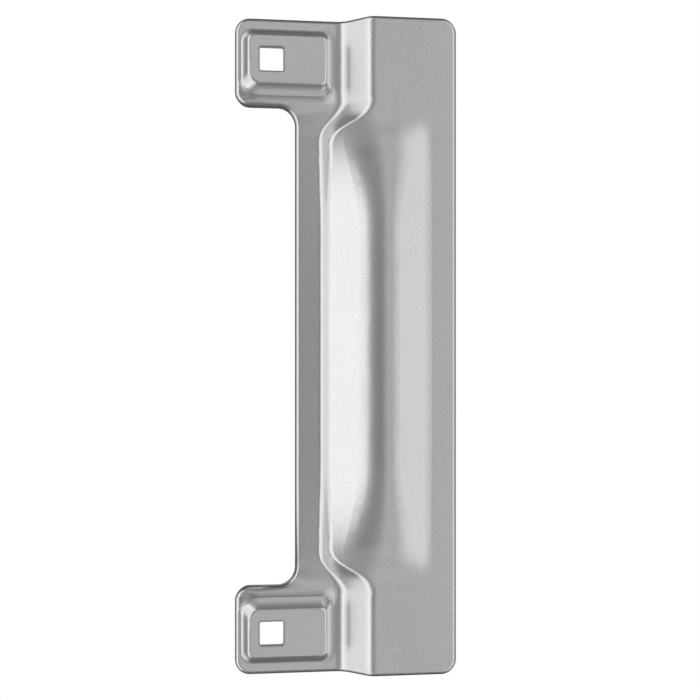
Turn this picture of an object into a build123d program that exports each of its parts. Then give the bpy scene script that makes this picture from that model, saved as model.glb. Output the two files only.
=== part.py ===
# Latch protector plate: one pressed steel plate that is bolted to a door and laps over the gap to the frame.
# Frame: +Z up, +X towards the frame side, -Y out of the door. The door's face is Y = 0, and the origin
# lies on it midway between the two bolt holes. The plate is the same above and below Z = 0.
# Places across the plate are counted from its left edge, and heights from the door's face.
from build123d import *
from math import atan2, radians, tan
import os

# The blank: outline sizes, seen from the front
plate_height = 279.4
plate_width = 93.5
sheet = 2.66
outer_corner = 6.35
tab_height = 37.7
notch_depth = 25.8
notch_corner = 7.5
tab_corner = 6.35
edge_break = 1.3

# The square hole for a carriage bolt's neck, placed from the left edge and from the plate's end
hole_side = 10.1
hole_corner = 0.8
hole_inset = 15.2
hole_end = 18.2

# The raised pad round each bolt hole: margins of its foot, its rise and its walls
pad_side_margin = 2.9
pad_end_margin = 5.3
pad_notch_margin = 5.0
pad_ramp_margin = 4.6
pad_rise = 4.2
pad_wall_run = 2.5
pad_inner_run = 4.6
pad_outer_corner = 4.9
pad_inner_corner = 6.8
pad_valley_corner = 4.5
pad_corner_shrink = 2.2
pad_top_bend = 1.3
pad_foot_gap = 0.72

# The offset that carries the right half clear of the frame
step_height = 11.1
ramp_foot = 45.7
ramp_top = 56.4
foot_radius = 7.3
top_radius = 7.1

# The strip beside the notch, which leans back from the tabs to its free edge
strip_drop = 0.3
strip_lean = 5.5
drop_start = 2.0
drop_length = 9.0

# The swell over the latch: a steep lip, a long slope up to a rounded ridge, and a slope down to the margin
swell_foot = 37.0
lip_place = 39.5
lip_rise = 3.0
ridge_place = 60.3
ridge_clear = 6.5
ridge_rise = 3.7
margin_start = 81.2
swell_foot_radius = 3.3
lip_radius = 3.5
margin_setback = 1.6

# The share of each flank that the ridge's rounding takes up, at the ends of the swell and in its middle
ridge_round_end = 0.88
ridge_round_middle = 0.43

# Where each change of section starts below the tab, and how far down the plate it takes.
# The lip comes down in two ways: with the jog, and with the slow fade into the full swell.
jog_start = 1.4
jog_length = 15.0
lip_start = 4.2
ridge_start = 6.5
fade_length = 51.0
lip_jog_share = 0.35

left = -hole_inset
half_height = plate_height / 2
notch_half = half_height - tab_height
hole_z = half_height - hole_end

# Heights above the door's face
strip_fall = (swell_foot - notch_depth) * tan(radians(strip_lean))
tab_front = sheet + strip_drop + strip_fall
pad_front = tab_front + pad_rise
panel_front = tab_front + step_height

# The form is the same from the plate's end down to here, just past the pad's foot
pad_inner = notch_half + pad_notch_margin
form_top = pad_inner - pad_foot_gap
spare = 10.0

# How closely faces are told apart when the rim's edges are picked
near_enough = 0.01
probe_depth = 0.2 * sheet


def ease(share):
    """Smooth rise from 0 to 1 as the share goes from 0 to 1."""
    share = min(max(share, 0.0), 1.0)
    return share * share * (3 - 2 * share)


def blend(start, end, share):
    """Value between start and end."""
    return start + (end - start) * share


def setback(corners, radius):
    """How far from the middle one of three corners a bend of this radius starts."""
    before, corner, after = corners
    return radius * tan(radians((corner - before).get_angle(after - corner)) / 2)


def form(z):
    """Corners of the front skin at height z as (place, height above the door), and each bend's two setbacks."""
    down = form_top - z
    jog = ease((down - jog_start) / jog_length)
    lip = ease((down - lip_start) / jog_length)
    ridge = ease((down - ridge_start) / jog_length)
    fade = ease((down - lip_start) / fade_length)
    drop = ease((down - drop_start) / drop_length)
    lean = tan(radians(strip_lean)) * drop
    foot_x = blend(ramp_foot, swell_foot, jog)
    foot_y = tab_front - strip_drop * drop
    lip_x = blend(ramp_top, lip_place, lip)
    lip_y = blend(panel_front, foot_y + lip_rise, blend(fade, lip, lip_jog_share))
    ridge_x = blend(ramp_top + ridge_clear, ridge_place, jog)
    corners = [
        (-spare, foot_y - lean * (foot_x + spare)),
        (foot_x, foot_y),
        (lip_x, lip_y),
        (ridge_x, panel_front + ridge_rise * ridge),
        (margin_start, panel_front),
        (plate_width + spare, panel_front),
    ]
    corners = [Vector(left + x, y) for x, y in corners]
    foot_back = setback(corners[0:3], blend(foot_radius, swell_foot_radius, jog))
    lip_back = setback(corners[1:4], blend(top_radius, lip_radius, lip))
    left_flank = (corners[3] - corners[2]).length - lip_back
    right_flank = (corners[4] - corners[3]).length - margin_setback
    ridge_round = blend(ridge_round_end, ridge_round_middle, fade)
    setbacks = [
        (foot_back, foot_back),
        (lip_back, lip_back),
        (ridge_round * left_flank, ridge_round * right_flank),
        (margin_setback, margin_setback),
    ]
    return corners, setbacks


def skin(corners, setbacks, depth):
    """Start, bends and end of a skin that lies depth under the front one, each bend as three points."""
    alongs = [(end - start).normalized() for start, end in zip(corners, corners[1:])]
    normals = [Vector(-along.Y, along.X) for along in alongs]
    bends = []
    for index, (setback_before, setback_after) in enumerate(setbacks):
        corner = corners[index + 1]
        before = normals[index]
        after = normals[index + 1]
        mitre = (before + after) * (1 / (1 + before.dot(after)))
        arrive = corner - alongs[index] * setback_before - before * depth
        leave = corner + alongs[index + 1] * setback_after - after * depth
        bends.append((arrive, corner - mitre * depth, leave))
    return corners[0] - normals[0] * depth, bends, corners[-1] - normals[-1] * depth


def bent_sheet(z):
    """The bent sheet as cut across at height z, drawn flat."""
    corners, setbacks = form(abs(z))
    with BuildSketch() as section:
        with BuildLine():
            ends = []
            for depth in (0.0, sheet):
                start, bends, end = skin(corners, setbacks, depth)
                here = start
                for arrive, apex, leave in bends:
                    Line(here, arrive)
                    Bezier(arrive, apex, leave)
                    here = leave
                Line(here, end)
                ends.append((start, end))
            Line(ends[0][0], ends[1][0])
            Line(ends[0][1], ends[1][1])
        make_face()
    return section.sketch


def across(z):
    """Plane across the plate at height z, whose own y runs out of the door."""
    return Plane((0, 0, z), x_dir=(1, 0, 0), z_dir=(0, 0, -1))


def facing(height):
    """Plane parallel to the door at a height above its face, seen from the front."""
    return Plane.XZ.offset(height)


def blank():
    """The outline that the plate is blanked to, with its notch."""
    with BuildSketch() as outline:
        with BuildLine():
            FilletPolyline(
                (left + plate_width, half_height),
                (left, half_height),
                (left, notch_half),
                (left + notch_depth, notch_half),
                (left + notch_depth, -notch_half),
                (left, -notch_half),
                (left, -half_height),
                (left + plate_width, -half_height),
                radius=[outer_corner, outer_corner, tab_corner, notch_corner] +
                       [notch_corner, tab_corner, outer_corner, outer_corner],
                close=True,
            )
        make_face()
    return outline.sketch


def front_rim(part):
    """Edges where the front skin meets the sheared walls of the blank."""
    rim = []
    for wall in part.faces():
        place = wall.center()
        if abs(wall.normal_at(place).Y) > near_enough or abs(abs(place.Z) - form_top) < near_enough:
            continue
        for edge in wall.edges().filter_by(Axis.Y, reverse=True):
            middle = edge.position_at(0.5)
            probe = middle - wall.normal_at(middle) * probe_depth + Vector(0, probe_depth, 0)
            if part.is_inside(probe):
                rim.append(edge)
    return rim


def pad_ring(rise, inset):
    """Outline of the pad at a rise above the tab, drawn set in by inset, with its softer corners by the notch."""
    share = rise / pad_rise
    wall = pad_wall_run * share + inset
    near = left + pad_side_margin + wall
    far = left + ramp_foot - pad_ramp_margin - wall
    top = half_height - pad_end_margin - wall
    bottom = pad_inner + pad_inner_run * share + inset
    shrink = pad_corner_shrink * share + inset
    corners = [pad_outer_corner, pad_outer_corner, pad_inner_corner, pad_valley_corner]
    with BuildSketch() as ring:
        with BuildLine():
            FilletPolyline(
                (far, top), (near, top), (near, bottom), (far, bottom),
                radius=[corner - shrink for corner in corners], close=True,
            )
        make_face()
    return ring.sketch


jog_steps = 5
fade_steps = 6
jog_end = form_top - lip_start - jog_length
fade_end = form_top - lip_start - fade_length
stations = [blend(form_top, jog_end, step / jog_steps) for step in range(jog_steps)]
stations += [blend(jog_end, fade_end, step / fade_steps) for step in range(fade_steps + 2)]

# The middle of the plate, with the strip, the swell and the jog of the offset at each end
with BuildPart() as middle:
    for z in stations:
        with BuildSketch(across(z)):
            add(bent_sheet(z))
    loft()
    with BuildSketch(across(stations[-1])):
        add(bent_sheet(0))
    extrude(amount=stations[-1])
    mirror(about=Plane.XY)
    with BuildSketch(Plane.XZ):
        add(blank())
    extrude(amount=4 * step_height, both=True, mode=Mode.INTERSECT)
    chamfer(front_rim(middle.part), edge_break)

# The two ends, each a tab and its share of the offset
with BuildPart() as ends:
    with BuildSketch(across(form_top)):
        add(bent_sheet(form_top))
    extrude(amount=form_top - half_height - spare)
    mirror(about=Plane.XY)
    with BuildSketch(Plane.XZ):
        add(blank())
    extrude(amount=4 * step_height, both=True, mode=Mode.INTERSECT)
    chamfer(front_rim(ends.part), edge_break)

# The raised pads, and the hollows that they leave behind
wall_inset = sheet * tan(atan2(pad_rise, pad_wall_run) / 2)

with BuildPart() as pads:
    for rise in (0, pad_rise):
        with BuildSketch(facing(tab_front + rise)):
            add(pad_ring(rise, 0))
    loft()
    fillet(pads.faces().sort_by(Axis.Y)[0].edges(), pad_top_bend)
    with BuildSketch(facing(pad_front)):
        with Locations((0, hole_z)):
            RectangleRounded(hole_side, hole_side, hole_corner)
    extrude(amount=-(sheet + pad_rise) / 2, mode=Mode.SUBTRACT)
    mirror(about=Plane.XY)

with BuildPart() as hollows:
    for rise in (0, pad_rise):
        with BuildSketch(facing(tab_front + rise - sheet)):
            add(pad_ring(rise, wall_inset))
    loft()
    mirror(about=Plane.XY)

with BuildPart() as plate:
    add(middle.part)
    add(ends.part)
    add(pads.part)
    add(hollows.part, mode=Mode.SUBTRACT)

plate.part.label = "latch_guard_plate"
os.makedirs("parts", exist_ok=True)
export_step(plate.part, "parts/latch_guard_plate.step")
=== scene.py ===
import math

import bpy
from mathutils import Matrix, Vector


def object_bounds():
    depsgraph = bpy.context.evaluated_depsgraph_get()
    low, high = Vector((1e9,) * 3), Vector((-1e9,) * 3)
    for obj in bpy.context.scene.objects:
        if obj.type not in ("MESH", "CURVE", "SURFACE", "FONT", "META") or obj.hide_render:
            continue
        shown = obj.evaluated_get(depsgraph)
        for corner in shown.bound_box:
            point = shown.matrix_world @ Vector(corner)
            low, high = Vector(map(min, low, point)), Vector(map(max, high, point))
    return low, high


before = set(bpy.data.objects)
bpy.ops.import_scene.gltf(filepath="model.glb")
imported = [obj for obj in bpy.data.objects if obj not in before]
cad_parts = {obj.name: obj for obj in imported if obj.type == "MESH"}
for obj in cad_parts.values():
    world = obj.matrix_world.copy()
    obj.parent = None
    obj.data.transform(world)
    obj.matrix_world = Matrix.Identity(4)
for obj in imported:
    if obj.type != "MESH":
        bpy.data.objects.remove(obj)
cad_box = [list(corner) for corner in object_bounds()]


# The plate: one sheet of steel, blanked with its notch, pressed to shape and tumbled, and fixed by two
# carriage bolts through its pads. It is bare satin metal with a fine even grain. Tumbling has rounded the
# sheared rim and the edges of the square holes, and the pads' walls run into the tabs in a soft bend.

class Wire:
    """A shader socket that takes part in ordinary arithmetic."""

    def __init__(self, tree, socket=None):
        self.tree = tree
        self.socket = socket

    def node(self, kind, settings=(), output=0, **inputs):
        """Add a node with its settings, then its inputs by name, or by number as in _0."""
        made = self.tree.nodes.new(kind)
        for name, value in dict(settings).items():
            setattr(made, name, value)
        for name, value in inputs.items():
            key = int(name[1:]) if name[0] == "_" else name
            if isinstance(value, Wire):
                self.tree.links.new(value.socket, made.inputs[key])
            else:
                made.inputs[key].default_value = value
        return Wire(self.tree, made.outputs[output])

    def feed(self, socket):
        self.tree.links.new(self.socket, socket)

    def maths(self, operation, first, second=0.0):
        return self.node("ShaderNodeMath", {"operation": operation}, _0=first, _1=second)

    def at_least(self, other):
        return self.maths("MAXIMUM", self, other)

    def at_most(self, other):
        return self.maths("MINIMUM", self, other)

    def sign(self):
        return self.maths("SIGN", self)

    def between(self, low, high):
        return (self > low) * (self < high)

    def __add__(self, other):
        return self.maths("ADD", self, other)

    def __radd__(self, other):
        return self.maths("ADD", other, self)

    def __sub__(self, other):
        return self.maths("SUBTRACT", self, other)

    def __rsub__(self, other):
        return self.maths("SUBTRACT", other, self)

    def __mul__(self, other):
        return self.maths("MULTIPLY", self, other)

    def __rmul__(self, other):
        return self.maths("MULTIPLY", other, self)

    def __truediv__(self, other):
        return self.maths("DIVIDE", self, other)

    def __rtruediv__(self, other):
        return self.maths("DIVIDE", other, self)

    def __pow__(self, other):
        return self.maths("POWER", self, other)

    def __gt__(self, other):
        return self.maths("GREATER_THAN", self, other)

    def __lt__(self, other):
        return self.maths("LESS_THAN", self, other)

    def __abs__(self):
        return self.maths("ABSOLUTE", self)


def rounded_box(across, up, sides, ends, corner):
    """Distance outside a box with round corners, and the way out of it across and up."""
    tiny = 0.001
    from_x = across - (sides[0] + sides[1]) / 2
    from_z = up - (ends[0] + ends[1]) / 2
    past_x = (abs(from_x) - ((sides[1] - sides[0]) / 2 - corner)).at_least(0.0)
    past_z = (abs(from_z) - ((ends[1] - ends[0]) / 2 - corner)).at_least(0.0)
    span = ((past_x ** 2.0 + past_z ** 2.0) ** 0.5).at_least(tiny)
    return span - corner, past_x / span * from_x.sign(), past_z / span * from_z.sign()


# The blank in millimetres, counted across from its left edge and up from its middle
millimetre = 0.001
plate_width = 93.5
half_height = 139.7
outer_corner = 6.35
notch_depth = 25.8
notch_half = 102.0
notch_corner = 7.5
tab_corner = 6.35

# Places clear of every corner, where one stretch of the outline gives way to the next
corner_split = 12.0
side_split = 46.0
tab_split = 120.0
well_past = 200.0


def sheared_outline(across, up):
    """Depth inside the plate's outline, and the way out of it across and up."""
    outer = rounded_box(across, up, (0.0, plate_width), (-half_height, half_height), outer_corner)
    notch = rounded_box(across, up, (-well_past, notch_depth), (-notch_half, notch_half), notch_corner)
    tab = rounded_box(across, up, (0.0, well_past), (notch_half, well_past), tab_corner)
    beside_notch = up < tab_split
    at_outer = (across > side_split).at_least(1.0 - beside_notch)
    at_notch = beside_notch * across.between(corner_split, side_split)
    at_tab = beside_notch * (across < corner_split)
    depth = at_notch * notch[0] - at_outer * outer[0] - at_tab * tab[0]
    way_x = at_outer * outer[1] - at_notch * notch[1] + at_tab * tab[1]
    way_z = at_outer * outer[2] - at_notch * notch[2] + at_tab * tab[2]
    return depth, way_x, way_z


# The round rim in millimetres. The solid has a flat chamfer there, told by how far its face leans out
rim_width = 1.8
rim_steepest = 0.97
chamfer_lean = (0.35, 0.92)
chamfer_reach = 1.4
chamfer_cosine = 0.7071


def rim_bend(depth, lean):
    """How far the round rim pushes the normal outward, given how far the face leans out already."""
    turn = (1.0 - depth / rim_width).at_least(0.0).at_most(rim_steepest)
    slope = turn / (1.0 - turn * turn) ** 0.5
    flat, steep = chamfer_lean
    on_chamfer = lean.between(flat, steep) * (depth < chamfer_reach)
    return on_chamfer * (slope - 1.0) * chamfer_cosine + (lean < flat) * slope


# The raised pad in millimetres: its foot, and the bend round it, which is wider by the notch
pad_sides = (2.9, 41.1)
pad_ends = (107.0, 134.4)
pad_outer_corner = 4.9
pad_inner_corner = 6.8
pad_valley_corner = 4.5
foot_push = 0.5
foot_inside = 0.7
foot_outside = 1.1
foot_by_notch = 6.5

# The pad's two walls that lie in shade, towards the offset and the notch, and the painted shade in the
# crease at their feet
offset_wall_run = 2.2
offset_wall_push = 0.62
notch_wall_run = 4.6
notch_wall_push = 0.55
crease_shade_width = 3.0


def pad_bend(across, up):
    """How far the pad's foot and walls push the normal outward, the way out, and where the crease's
    painted shade lies.
    """
    middle = (pad_sides[0] + pad_sides[1]) / 2
    at_end = up > (pad_ends[0] + pad_ends[1]) / 2
    by_notch = pad_inner_corner * (across < middle) + pad_valley_corner * (across > middle)
    corner = pad_outer_corner * at_end + (1.0 - at_end) * by_notch
    away, way_x, way_z = rounded_box(across, up, pad_sides, pad_ends, corner)
    to_notch = (0.0 - way_z).at_least(0.0)
    to_offset = way_x.at_least(0.0)
    shaded = to_offset.at_least(to_notch)
    reach = foot_outside + foot_by_notch * to_notch
    outside = away.between(0.0, reach) * (1.0 - away / reach)
    inside = away.between(-foot_inside, 0.0) * (1.0 + away / foot_inside) * (1.0 - shaded)
    offset_wall = away.between(-offset_wall_run, 0.0) * to_offset
    notch_wall = away.between(-notch_wall_run, 0.0) * (1.0 + away / notch_wall_run) * to_notch
    walls = offset_wall_push * offset_wall + notch_wall_push * notch_wall
    # Painted shade: the crease at the feet of the shaded walls, darkened in the colour
    crease_shade = shaded * away.between(0.0, crease_shade_width) * (1.0 - away / crease_shade_width)
    return foot_push * (outside - inside) - walls, way_x, way_z, crease_shade


# The square hole and its small rounding in millimetres, and the darker band at the sheared edges, partly
# duller sheared metal and partly painted shade
hole_sides = (10.15, 20.25)
hole_ends = (116.45, 126.55)
hole_corner = 0.8
hole_rim = 0.4
rim_wear_and_shade = 0.9
hole_wear_and_shade = 0.8

# The bare metal, how much darker it is at the sheared edges (duller metal and painted shade) and in the
# crease (painted shade), and how the front faces
steel_shade = 0.66
steel_green = 1.003
steel_blue = 1.01
steel_roughness = 0.30
grain_contrast = 0.34
cloud_contrast = 0.05
grain_roughness = 0.06
edge_dark = 0.7
crease_painted_shade = 0.45
front_facing = -0.2


def satin_steel(left_edge):
    """Bare pressed steel with a fine grain, its edges rounded and its pads' feet bent softly."""
    steel = bpy.data.materials.new("satin_steel")
    steel.use_nodes = True
    tree = steel.node_tree
    shader = tree.nodes["Principled BSDF"]
    shader.inputs["Metallic"].default_value = 1.0
    place = Wire(tree).node("ShaderNodeTexCoord", output="Object")
    facing = Wire(tree).node("ShaderNodeNewGeometry", output="Normal")
    grain = place.node("ShaderNodeTexNoise", Vector=place, Scale=2200.0, Detail=2.0, Roughness=0.6)
    cloud = place.node("ShaderNodeTexNoise", Vector=place, Scale=38.0, Detail=3.0, Roughness=0.55)

    # The upper and the lower half are alike, so heights are counted from the middle to either side
    across = (place.node("ShaderNodeSeparateXYZ", output="X", Vector=place) - left_edge) / millimetre
    height = place.node("ShaderNodeSeparateXYZ", output="Z", Vector=place) / millimetre
    side = height.sign()
    up = abs(height)
    facings = [facing.node("ShaderNodeSeparateXYZ", output=axis, Vector=facing) for axis in "XYZ"]
    normal_x, normal_y, normal_z = facings

    # The rim, the pad's foot and the hole's edge each turn the normal, on the front alone
    depth, rim_x, rim_z = sheared_outline(across, up)
    rim = rim_bend(depth, normal_x * rim_x + normal_z * rim_z * side)
    foot, foot_x, foot_z, crease_shade = pad_bend(across, up)
    hole, hole_x, hole_z = rounded_box(across, up, hole_sides, hole_ends, hole_corner)
    edge = hole.between(0.0, hole_rim) * (1.0 - hole / hole_rim)
    front = normal_y < front_facing
    push_x = front * (rim * rim_x + foot * foot_x - edge * hole_x)
    push_z = front * (rim * rim_z + foot * foot_z - edge * hole_z) * side
    push = place.node("ShaderNodeCombineXYZ", X=push_x, Y=0.0, Z=push_z)
    bent = place.node("ShaderNodeVectorMath", {"operation": "ADD"}, _0=facing, _1=push)
    bent = place.node("ShaderNodeVectorMath", {"operation": "NORMALIZE"}, _0=bent)
    bump = place.node("ShaderNodeBump", Strength=0.12, Distance=0.00002, Height=grain, Normal=bent)
    bump.feed(shader.inputs["Normal"])

    # The sheared rim and the hole's edge are darkened: partly duller sheared metal, partly painted shade
    # on the steep edge faces
    edge_wear_and_shade = (1.0 - depth / rim_wear_and_shade).at_least(1.0 - abs(hole) / hole_wear_and_shade).at_least(0.0)
    shade = steel_shade + grain_contrast * (grain - 0.5) + cloud_contrast * (cloud - 0.5)
    # The crease at the pads' feet is darkened with painted shade
    shade = shade * (1.0 - edge_dark * edge_wear_and_shade) * (1.0 - crease_painted_shade * front * crease_shade)
    green = shade * steel_green
    blue = shade * steel_blue
    colour = place.node("ShaderNodeCombineColor", Red=shade, Green=green, Blue=blue)
    colour.feed(shader.inputs["Base Color"])
    roughness = steel_roughness + grain_roughness * (grain - 0.5)
    roughness.feed(shader.inputs["Roughness"])
    return steel


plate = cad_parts["latch_guard_plate"]
plate.data.materials.clear()
plate.data.materials.append(satin_steel(cad_box[0][0]))


# The studio: the plate is fixed by its bolts in use, so here it hangs free before plain white. Tall white
# boxes stand on its left, its right and behind on the right, weak ones in front and a square one behind.
# The white background is for the camera alone, so the metal has only the boxes and a pale even fill.

world = bpy.data.worlds.new("studio")
bpy.context.scene.world = world
world.use_nodes = True
background = world.node_tree.nodes["Background"]
background.inputs["Color"].default_value = (1.0, 1.0, 1.0, 1.0)
seen = Wire(world.node_tree).node("ShaderNodeLightPath", output="Is Camera Ray")
fill = 0.19
strength = fill + (1.0 - fill) * seen
strength.feed(background.inputs["Strength"])

# How far off the boxes stand and the middle of the plate that they face, in metres, and their power
box_distance = 1.3
plate_middle = 0.03
watts_per_square_metre = 4.0


def soft_box(name, bearing, width, tall, brightness, rise=0.0):
    """A white box with its face to the plate, at a bearing right of straight out and a rise in degrees."""
    lamp = bpy.data.lights.new(name, "AREA")
    lamp.shape = "RECTANGLE"
    lamp.size = width
    lamp.size_y = tall
    lamp.energy = watts_per_square_metre * width * tall * brightness
    box = bpy.data.objects.new(name, lamp)
    box.visible_camera = False
    angle = math.radians(bearing)
    lift = math.radians(rise)
    out = box_distance * math.cos(lift)
    height = box_distance * math.sin(lift)
    box.location = (plate_middle + out * math.sin(angle), -out * math.cos(angle), height)
    box.rotation_mode = "XYZ"
    box.rotation_euler = (math.pi / 2 - lift, 0, angle)
    bpy.context.scene.collection.objects.link(box)


soft_box("left_box", bearing=-49.0, width=0.60, tall=5.0, brightness=1.0)
soft_box("far_left_box", bearing=-83.0, width=0.98, tall=5.0, brightness=0.72)
soft_box("upper_front_box", bearing=-13.0, width=0.75, tall=0.9, brightness=0.12, rise=31.0)
soft_box("lower_front_box", bearing=-13.0, width=0.75, tall=0.9, brightness=0.12, rise=-31.0)
soft_box("front_right_box", bearing=4.2, width=0.29, tall=2.0, brightness=0.40)
soft_box("right_box", bearing=45.7, width=1.39, tall=3.2, brightness=0.64)
soft_box("back_right_box", bearing=128.0, width=0.70, tall=3.2, brightness=0.66)
soft_box("back_box", bearing=190.0, width=1.4, tall=1.4, brightness=0.35)


# The camera: level, about half a metre in front of the tab's face and a little left of the plate's edge,
# as the photograph was taken. It is turned to the plate, and its view is shifted up instead of tilted.

picture_pixels = 700
focal_pixels = 1225.4
shift_pixels = 21.2
turn_degrees = 7.904
tab_front = 4.04 * millimetre
eye_left = 23.26 * millimetre
eye_out = 521.8 * millimetre
eye_below = 10.6 * millimetre
lens = bpy.data.cameras.new("camera")
lens.sensor_width = 36.0
lens.lens = focal_pixels * lens.sensor_width / picture_pixels
lens.shift_y = shift_pixels / picture_pixels
eye = bpy.data.objects.new("camera", lens)
eye.location = (cad_box[0][0] - eye_left, -(eye_out + tab_front), -eye_below)
eye.rotation_euler = (math.pi / 2, 0, -math.radians(turn_degrees))
bpy.context.scene.collection.objects.link(eye)
bpy.context.scene.camera = eye
bpy.context.scene.view_settings.view_transform = "Standard"
